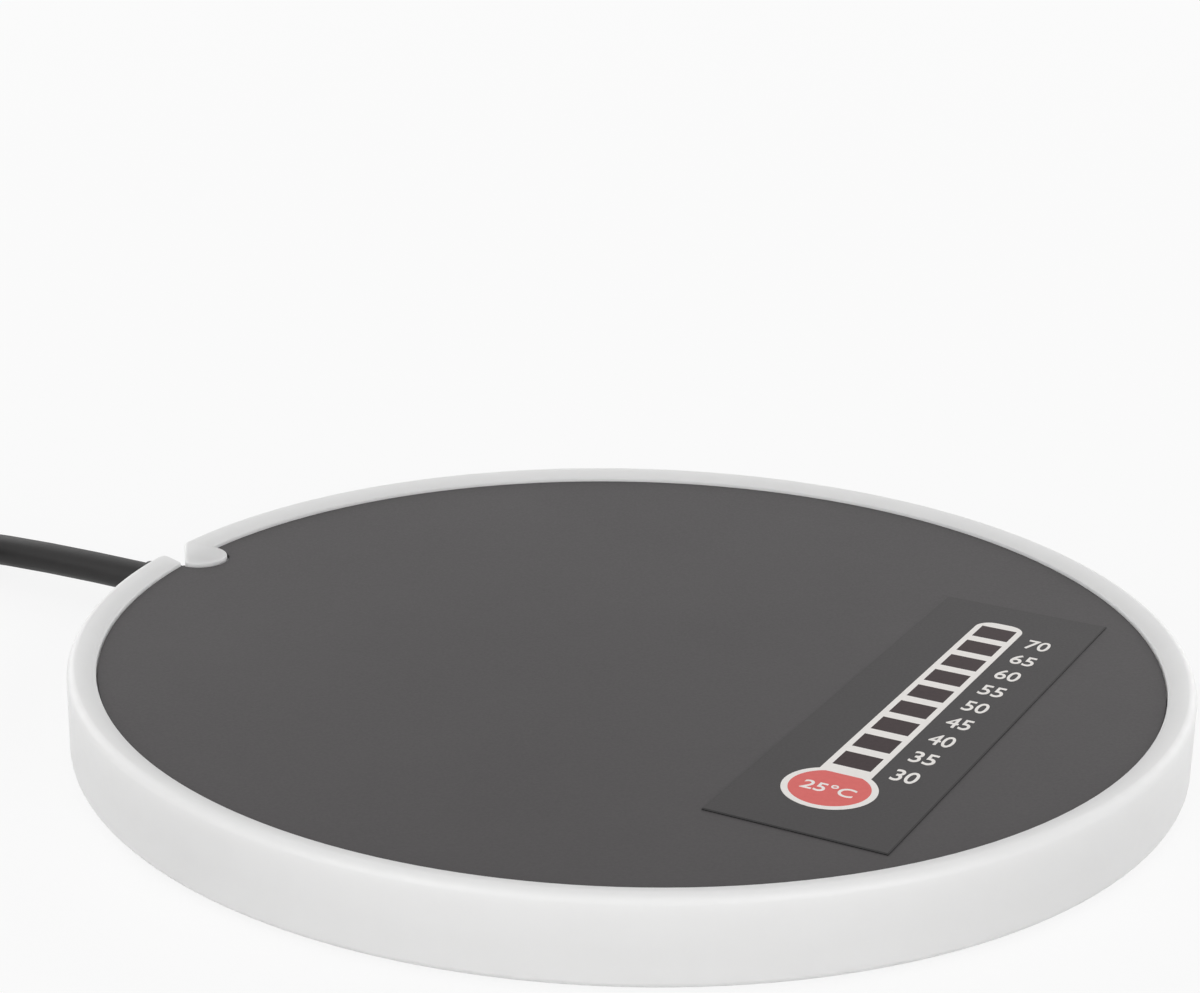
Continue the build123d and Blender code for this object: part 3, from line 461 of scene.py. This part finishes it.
# ---- Capacitors -------------------------------------------------------------------------
# Two blocks of tan ceramic with finely speckled faces. They are soldered on the board, as
# the chips are.
capacitor_ceramic, start, place = new_finish("capacitor_ceramic")
specks = speckle(start, place, 0.0003, detail=4.0)
dress(start, Base_Color=tint(start, specks, (0.37, 0.24, 0.12), (0.53, 0.37, 0.21)), Roughness=0.42,
      Normal=relief(start, specks, 0.000008))
dress_nodes(capacitor_ceramic, "board_capacitors")

# ---- Sensor, fuse and leads -------------------------------------------------------------
# A bead of black resin and a ceramic fuse tube go down with the heated plate. Straight tinned
# wires lead down from them, and from the heater, to the board.
sensor_resin, start, place = new_finish("sensor_resin")
flow = speckle(start, place, 0.0009)
dress(start, Base_Color=tint(start, flow, (0.022, 0.022, 0.024), (0.045, 0.042, 0.042)),
      Roughness=spread(start, flow, 0.12, 0.26))
dress_nodes(sensor_resin, "temperature_sensor")

fuse_ceramic, start, place = new_finish("fuse_ceramic")
chalk = speckle(start, place, 0.0005)
dress(start, Base_Color=tint(start, chalk, (0.63, 0.63, 0.59), (0.75, 0.74, 0.70)), Roughness=0.5,
      Normal=relief(start, chalk, 0.00001))
dress_nodes(fuse_ceramic, "thermal_fuse")

lead_wire, start, place = new_finish("lead_wire")
tinning = speckle(start, place, 0.0005)
dress(start, Base_Color=tint(start, tinning, (0.54, 0.54, 0.55), (0.66, 0.66, 0.67)), Metallic=1.0,
      Roughness=spread(start, tinning, 0.26, 0.42))
for part in ("heater", "sensor", "fuse"):
    yielding_piece(part + "_wires", part + "_leads", lead_wire)

# ---- Cord inside the base ---------------------------------------------------------------
# The jacket ends under the clamp, and two wires in red insulation go on to the board. A
# strain relief of the same rubber as the jacket holds it where it leaves.
wire_insulation, start, place = new_finish("wire_insulation")
drawn = speckle(start, place, 0.0012)
dress(start, Base_Color=tint(start, drawn, (0.44, 0.016, 0.014), (0.56, 0.026, 0.022)),
      Roughness=spread(start, drawn, 0.24, 0.38))
dress_nodes(wire_insulation, "cord_wires")
dress_nodes(cord_rubber, "cord_jacket_end", "strain_relief")

# ---- Plate carrier and pad --------------------------------------------------------------
# A black moulded disc with the four guide pins holds the plate's layers from below. On it
# lies a pale heat-proof felt pad.
carrier_plastic, start, place = new_finish("carrier_plastic")
grain = speckle(start, place, 0.0004, detail=2.0)
cloud = speckle(start, place, 0.008)
dress(start, Base_Color=tint(start, cloud, (0.105, 0.105, 0.105), (0.135, 0.133, 0.132)),
      Roughness=spread(start, grain, 0.55, 0.7), Normal=relief(start, grain, 0.00003))
dress_nodes(carrier_plastic, "plate_carrier")

pad_foam, start, place = new_finish("pad_foam")
fibres = speckle(start, place, 0.0006, detail=5.0, stretch=(1, 1, 0.4))
dress(start, Base_Color=tint(start, fibres, (0.61, 0.59, 0.53), (0.78, 0.76, 0.70)), Roughness=0.9,
      Normal=relief(start, fibres, 0.0001))
dress_nodes(pad_foam, "insulation_pad")

# ---- Heater film, track and spreader ----------------------------------------------------
# An etched metal track on amber film lies under an aluminium disc, which spreads its heat
# over the panel.
heater_film, start, place = new_finish("heater_film")
bands = speckle(start, place, 0.006)
dress(start, Base_Color=tint(start, bands, (0.50, 0.19, 0.022), (0.60, 0.25, 0.040)),
      Roughness=spread(start, bands, 0.12, 0.24))
dress_nodes(heater_film, "heater_film")

track_metal, start, place = new_finish("track_metal")
etched = speckle(start, place, 0.0007)
dress(start, Base_Color=tint(start, etched, (0.60, 0.35, 0.21), (0.72, 0.45, 0.30)), Metallic=1.0,
      Roughness=spread(start, etched, 0.3, 0.46))
dress_nodes(track_metal, "heater_track")

spreader_aluminium, start, place = new_finish("spreader_aluminium")
rolled = speckle(start, place, 0.0005, stretch=(16, 0.5, 1))
dress(start, Base_Color=tint(start, rolled, (0.73, 0.74, 0.75), (0.79, 0.80, 0.81)), Metallic=1.0,
      Roughness=spread(start, rolled, 0.26, 0.4), Normal=relief(start, rolled, 0.000004))
dress_nodes(spreader_aluminium, "heat_spreader")

# ---- Heated panel -----------------------------------------------------------------------
# A thin disc of dark grey moulded plastic with a satin, very finely grained top. Its notch
# at the back left takes the band's lobe.
panel_plastic, start, place = new_finish("panel_plastic")
cloud = speckle(start, place, 0.018)
grain = speckle(start, place, 0.0003, detail=2.0)
dress(start, Base_Color=tint(start, cloud, (0.074, 0.0695, 0.0715), (0.086, 0.0815, 0.083)),
      Roughness=spread(start, grain, 0.46, 0.56), Specular_IOR_Level=0.1,
      Normal=relief(start, grain, 0.00001))
dress_nodes(panel_plastic, "top_panel")


# ---- Edge band --------------------------------------------------------------------------
# A band of soft white silicone, moulded as a strip and pulled round the tray's rim. Its
# groove grips the rim's tongue, and one end has a lobe that locks into the panel's notch.
# Heights and radii are in millimetres.
band_base, band_top = 0.5, 10.0
band_radius = 63
bore_radius = 59.85
lip_radius, lip_top = 58.5, 1.1
groove_radius, groove_base, groove_top = 61.2, 2.9, 4.1
lobe_base = 8.6
split_angle = 157.85
# Points of a row on the plain end, once round, on the leaning end and on the lobe
plain_points, round_points, leaning_points, lobe_points = 22, 300, 30, 50


def side_inset(z, bottom, top):
    """How far an upright side lies in at a height, where quarter circles round its two edges."""
    low = np.clip(bottom - (z - band_base), 0, bottom)
    high = np.clip(top - (band_top - z), 0, top)
    return bottom - np.sqrt(bottom**2 - low**2) + top - np.sqrt(top**2 - high**2)


def line_to_circle(start, way, middle, radius, root):
    """Where a straight line, start + t way, meets a circle: t solves a quadratic equation, and root
    is -1 for its smaller solution and 1 for its larger one."""
    gap = start - middle
    along = np.sum(gap * way, axis=-1)
    t = -along + root * np.sqrt(along**2 - np.sum(gap**2, axis=-1) + radius**2)
    return start + t[..., None] * way


def circle_run(radius, first, last, share):
    """Points of a circle at the radius, from the first angle to the last by the shares given."""
    angle = first[:, None] + (last - first)[:, None] * share
    return radius[:, None, None] * np.stack([np.cos(angle), np.sin(angle)], axis=-1)


def line_run(first, last, share):
    """Points of a straight line from the first point to the last by the shares given."""
    return first[:, None] + (last - first)[:, None] * share[:, None]


def band_rows():
    """The band's outline in plan at every height, one row each. A row goes out along the plain
    end, round its rounded corner, once round the outer circle, in along the leaning end, round
    the lobe and back along the inner circle. Quarter circles in height round the row's edges."""
    base_edge, top_edge, top_inner_edge = 0.7, 1.0, 0.4
    foot = band_base + base_edge * (1 - np.cos(np.linspace(0, radians(82), 7)))
    crown = band_top - top_edge * (1 - np.sin(np.linspace(0, pi / 2, 16)))
    # Heights, and the inner side's radius there
    profile = ((foot, lip_radius), (lip_top, lip_radius), (lip_top, bore_radius),
               (1.2, bore_radius), (groove_base, bore_radius), (groove_base, groove_radius),
               (groove_top, groove_radius), (groove_top, bore_radius),
               (np.linspace(5, 8, 4), bore_radius), (lobe_base, bore_radius),
               (lobe_base, bore_radius), (crown, bore_radius))
    height = np.hstack([run for run, radius in profile])
    count = len(height)
    inner = np.hstack([np.full(np.size(run), radius) for run, radius in profile])
    inner += side_inset(height, 0, top_inner_edge)
    lobed = np.arange(count) > np.argmax(height == lobe_base)
    outer = band_radius - side_inset(height, base_edge, top_edge)
    ends = side_inset(height, 0.3, 0.5)

    even = np.linspace(0, 1, round_points, endpoint=False)
    tight = even - 0.92 * np.sin(tau * even) / tau
    # The plain end and its rounded corner
    corner_radius = 1.3
    corner_middle = band_radius - corner_radius
    inner_corner = np.stack([np.sqrt(inner**2 - ends**2), ends], axis=-1)
    outer_corner = np.stack([np.full(count, corner_middle), ends], axis=-1)
    turn = np.linspace(-pi / 2, 0, 14)[1:-1]
    plain = line_run(inner_corner, outer_corner, even[::round_points // (plain_points - len(turn))])
    corner = np.stack([corner_middle + (outer - corner_middle)[:, None] * np.cos(turn),
                       corner_radius + (corner_radius - ends)[:, None] * np.sin(turn)], axis=-1)
    # The leaning end, which starts a slit's width from the plain one at the panel's rim
    panel_rim, slit, lean = 60, 0.55, radians(57)
    face_way = np.array((cos(lean), -sin(lean)))
    face_start = (np.array((panel_rim - slit * sin(lean), -slit * cos(lean)))
                  - ends[:, None] * np.array((sin(lean), cos(lean))))
    face_out = line_to_circle(face_start, face_way, 0, outer, 1)
    face_in = line_to_circle(face_start, face_way, 0, np.maximum(inner, panel_rim), 1)
    face_in *= (inner / np.linalg.norm(face_in, axis=-1))[:, None]
    lobe_radius = 3.2 - side_inset(height, 0, top_inner_edge)
    lobe_distance = 59.2
    lobe_turn = radians(154.7 - split_angle)
    lobe_middle = lobe_distance * np.array((cos(lobe_turn), sin(lobe_turn)))
    lobe_tip = line_to_circle(face_start, face_way, lobe_middle, lobe_radius, -1)
    face_in = np.where(lobed[:, None], lobe_tip, face_in)
    leaning = line_run(face_out, face_in, even[::round_points // leaning_points])
    # The lobe, which the rows under it leave out
    past = np.arccos((lobe_distance**2 + inner**2 - lobe_radius**2) / (2 * lobe_distance * inner))
    lobe_end = lobe_turn - np.where(lobed, past, past[-1])
    from_middle = (inner[:, None] * np.stack([np.cos(lobe_end), np.sin(lobe_end)], axis=-1)
                   - lobe_middle)
    tip_turn = np.arctan2(*(lobe_tip - lobe_middle).T[::-1])
    end_turn = np.arctan2(*from_middle.T[::-1]) % tau
    lobe_share = even[::round_points // lobe_points]
    lobe = lobe_middle + circle_run(lobe_radius, tip_turn, end_turn, lobe_share)
    face_turn = np.arctan2(*face_in.T[::-1])
    flush = circle_run(inner, face_turn, lobe_end, lobe_share)
    lobe = np.where(lobed[:, None, None], lobe, flush)
    # The two circles
    outside = circle_run(outer, np.arcsin(corner_radius / outer),
                         np.arctan2(*face_out.T[::-1]) + tau, tight)
    inside = circle_run(inner, lobe_end + tau, np.arcsin(ends / inner), tight)
    rows = np.concatenate([plain, corner, outside, leaning, lobe, inside], axis=1)

    # A weighted mean of neighbours, by a bell curve, rounds the upright corners of the ends
    near = np.zeros(rows.shape[1])
    corners = np.cumsum([0, plain_points, round_points, leaning_points, lobe_points])
    for corner_place in corners:
        near[(corner_place + np.arange(-14, 15)) % len(near)] = 1
    near[corners[2]:corners[4]] = 1
    reach, bell_width = 5, 1.8
    kernel = np.exp(-np.arange(-reach, reach + 1) ** 2 / (2 * bell_width**2))
    kernel /= kernel.sum()
    mean = sum(share * np.roll(rows, step, axis=1)
               for share, step in zip(kernel, range(-reach, reach + 1)))
    rows += (mean - rows) * near[:, None]
    split = radians(split_angle)
    turned = rows @ np.array(((cos(split), sin(split)), (-sin(split), cos(split))))
    # The top slopes in and down: points sink by their place across it times their place up the rim
    slope_radius, slope_width, slope_depth = 62, 2, 0.6
    across = np.clip((slope_radius - np.linalg.norm(rows, axis=-1)) / slope_width, 0, 1)
    up = np.clip((height[:, None] - lobe_base) / (band_top - lobe_base), 0, 1)
    sunk = height[:, None] - slope_depth * across * up
    return np.concatenate([turned, sunk[..., None]], axis=-1)


# The rows are joined by faces, and strips and two many-sided faces close the base and the top
rows = band_rows()
row_points = rows.shape[1]
last_row = (len(rows) - 1) * row_points
faces = grid_faces(*rows.shape[:2]).tolist()
outside = plain_points + np.arange(round_points)
inside = row_points - 1 - np.arange(round_points)
plain_cap = [inside[0], *range(plain_points + 1)]
leaning_cap = range(outside[-1], inside[-1] + 1)
for first, way in ((0, -1), (last_row, 1)):
    strip = np.stack([inside[:-1], outside[:-1], outside[1:], inside[1:]], axis=-1) + first
    faces += strip[:, ::way].tolist()
    faces += [[int(first + place) for place in cap[::way]] for cap in (plain_cap, leaning_cap)]

band_rubber, start, place = new_finish("band_rubber")
cloud = speckle(start, place, 0.010)
bloom = speckle(start, place, 0.0015, detail=4.0)
dress(start, Base_Color=tint(start, cloud, (0.745, 0.742, 0.738), (0.775, 0.774, 0.772)),
      Roughness=spread(start, bloom, 0.46, 0.58), Subsurface_Weight=0.85, Subsurface_Scale=0.004,
      Subsurface_Radius=(1, 1, 1), Normal=relief(start, bloom, 0.00001))
band = add_piece("band", (rows / 1000).reshape(-1, 3), faces, band_rubber)

# A round hole through its side lets the strain relief out
hole_radius = 0.00275
hole_turn = np.linspace(0, tau, 48, endpoint=False)
hole_ring = hole_radius * (np.cos(hole_turn)[:, None] * np.array(round_z(1, exit_angle + 90, 0))
                           + np.sin(hole_turn)[:, None] * np.array((0, 0, 1)))
exit_hole = ring_piece("exit_hole", np.stack([round_z(radius, exit_angle, exit_height) + hole_ring
                                              for radius in (0.057, 0.065)]), band_rubber)
cut = band.modifiers.new("exit_hole", "BOOLEAN")
cut.object = exit_hole
cut.solver = "MANIFOLD"
depsgraph = bpy.context.evaluated_depsgraph_get()
band.data = bpy.data.meshes.new_from_object(band.evaluated_get(depsgraph))
band.modifiers.clear()
band.data.set_sharp_from_angle(angle=radians(40))
bpy.data.objects.remove(exit_hole)
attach(band, "base")
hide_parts("edge_band")

# ---- Thermometer label ------------------------------------------------------------------
# A strip of dark polyester film stuck on the panel. Its front and right edges carry painted
# shade: darker lines where the film's thin cut edges would be shaded.
label_turn = radians(-27)
first_cell = round_z(0.0384, -52.3, 0)
label_right, label_front = 0.0106, -0.0181


def label_place(start, place):
    """Coordinates across the label and along it from its scale's first cell, in metres."""
    centred = start.node("Mapping", {"Vector": place, "Location": first_cell,
                                     "Rotation": (0, 0, label_turn)}, vector_type="TEXTURE")
    across = start.node("SeparateXYZ", {"Vector": centred}, out="X")
    return across, Socket(start.tree, across.output.node.outputs["Y"])


label_film, start, place = new_finish("label_film")
across, along = label_place(start, place)
cloud = speckle(start, place, 0.010)
grain = speckle(start, place, 0.0003, detail=2.0)
film_color = tint(start, cloud, (0.061, 0.058, 0.059), (0.070, 0.0665, 0.0675))
# Painted shade: darker lines along the label's right and front edges, where its thin edge would be
# in shade
edge_shade = start.math("MAXIMUM", 0.5 * (across > label_right - 0.0002),
                  0.8 * (along < label_front + 0.0003))
dress(start, Base_Color=tint(start, edge_shade, film_color, (0.012, 0.012, 0.012)),
      Roughness=spread(start, grain, 0.46, 0.56), Specular_IOR_Level=0.1,
      Normal=relief(start, grain, 0.000008))
dress_nodes(label_film, "thermometer_label")

# ---- Printed scale ----------------------------------------------------------------------
# White ink for the thermometer's outline and numbers, red ink in its bulb, and nine dark
# windows of heat-sensitive film. The ink is screen printed and slightly uneven.
print_white, start, place = new_finish("print_white")
ink = speckle(start, place, 0.0006, detail=4.0)
dress(start, Base_Color=tint(start, ink, (0.86, 0.83, 0.80), (0.94, 0.91, 0.88)),
      Roughness=0.45, Specular_IOR_Level=0.2, Normal=relief(start, ink, 0.000006))
dress_nodes(print_white, "scale_outline")

print_red, start, place = new_finish("print_red")
ink = speckle(start, place, 0.0006, detail=4.0)
dress(start, Base_Color=tint(start, ink, (0.70, 0.120, 0.110), (0.77, 0.155, 0.142)),
      Roughness=0.45, Specular_IOR_Level=0.2, Normal=relief(start, ink, 0.000006))
dress_nodes(print_red, "scale_bulb")

cell_film, start, place = new_finish("cell_film")
crystals = speckle(start, place, 0.0005, detail=5.0)
dress(start, Base_Color=tint(start, crystals, (0.020, 0.011, 0.012), (0.046, 0.027, 0.029)),
      Roughness=0.4, Specular_IOR_Level=0.1)
dress_nodes(cell_film, "scale_cells")


def text_shape(text, height, width):
    """Points and faces of a text round the origin, drawn out to that size in millimetres."""
    letters = bpy.data.curves.new("letters", "FONT")
    letters.body = text
    letters.align_x = "CENTER"
    letters.extrude = 0.02
    letters.offset = 0.008
    holder = bpy.data.objects.new("letters", letters)
    scene.collection.objects.link(holder)
    points, corners = read_mesh(bpy.data.meshes.new_from_object(holder))
    bpy.data.objects.remove(holder)
    low, high = points.min(0), points.max(0)
    points = (points - (low + high) / 2) * (width / (high - low)[0], height / (high - low)[1], 1)
    return points, corners


# Each text with its height, width and middle, in millimetres from the first cell and the table
cell_step = 5.12
numbers = [(str(30 + 5 * cell), 2.8, 2.7, 5.6, cell_step * cell - 1.0, 9.02) for cell in range(9)]
numbers.append(("25°C", 2.1, 5.6, 0, -7.6, 9.06))
points, faces = np.zeros((0, 3)), []
for text, height, width, x, y, z in numbers:
    shape, corners = text_shape(text, height, width)
    faces += [[len(points) + corner for corner in face] for face in corners]
    points = np.vstack([points, shape + (x, y, z)])
turned = points[:, :2] @ np.array(((cos(label_turn), sin(label_turn)),
                                   (-sin(label_turn), cos(label_turn))))
points = np.column_stack([turned / 1000 + first_cell[:2], points[:, 2] / 1000])
numerals = add_piece("numerals", points, faces, print_white, sharp=20)
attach(numerals, "heating_plate")
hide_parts("scale_numerals")

# ---- Floor and light --------------------------------------------------------------------
# A plain white floor that runs into a white surround, and four wide soft lights that stand
# low round the warmer.
sky = bpy.data.worlds.new("sky")
sky.use_nodes = True
sky.node_tree.nodes.clear()
scene.world = sky


def seen_white(start):
    """1 for rays that show the surround itself: the camera's own, reflected ones and those that
    pass through glass."""
    camera_ray = start.node("LightPath", out="Is Camera Ray")
    path = camera_ray.output.node.outputs
    return start.math("MAXIMUM", camera_ray,
                      start.math("MAXIMUM", Socket(start.tree, path["Is Glossy Ray"]),
                                 Socket(start.tree, path["Is Transmission Ray"])))


start = Socket(sky.node_tree)
ambient = 0.4
strength = ambient + seen_white(start) * (1 - ambient)
end_shader(start, start.node("Background", {"Color": (1, 1, 1, 1), "Strength": strength}),
           "OutputWorld")

floor_paint, start, place = new_finish("floor_paint")
white = start.node("BsdfDiffuse", {"Color": (0.9, 0.9, 0.9, 1)})
glow = start.node("Emission", {"Color": (1, 1, 1, 1), "Strength": 1.0})
glow_share = 0.85
end_shader(start, start.node("MixShader", {0: seen_white(start) * glow_share, 1: white, 2: glow}))
floor = add_piece("floor", [(-4, -4, 0), (4, -4, 0), (4, 4, 0), (-4, 4, 0)], [(0, 1, 2, 3)],
                  floor_paint)

for end, y, power in (("front", -1.1, 9.8), ("back", 1.1, 7.2)):
    for side, x in (("left", -1.0), ("right", 1.0)):
        name = end + "_" + side
        lamp = bpy.data.objects.new(name, bpy.data.lights.new(name, "AREA"))
        lamp.data.size = 0.9
        lamp.data.energy = power
        spot = Vector((x, y, 0.5))
        towards_axis = spot.to_track_quat("Z", "Y").to_matrix().to_4x4()
        lamp.matrix_world = Matrix.Translation(spot) @ towards_axis
        scene.collection.objects.link(lamp)
scene.view_settings.view_transform = "Standard"
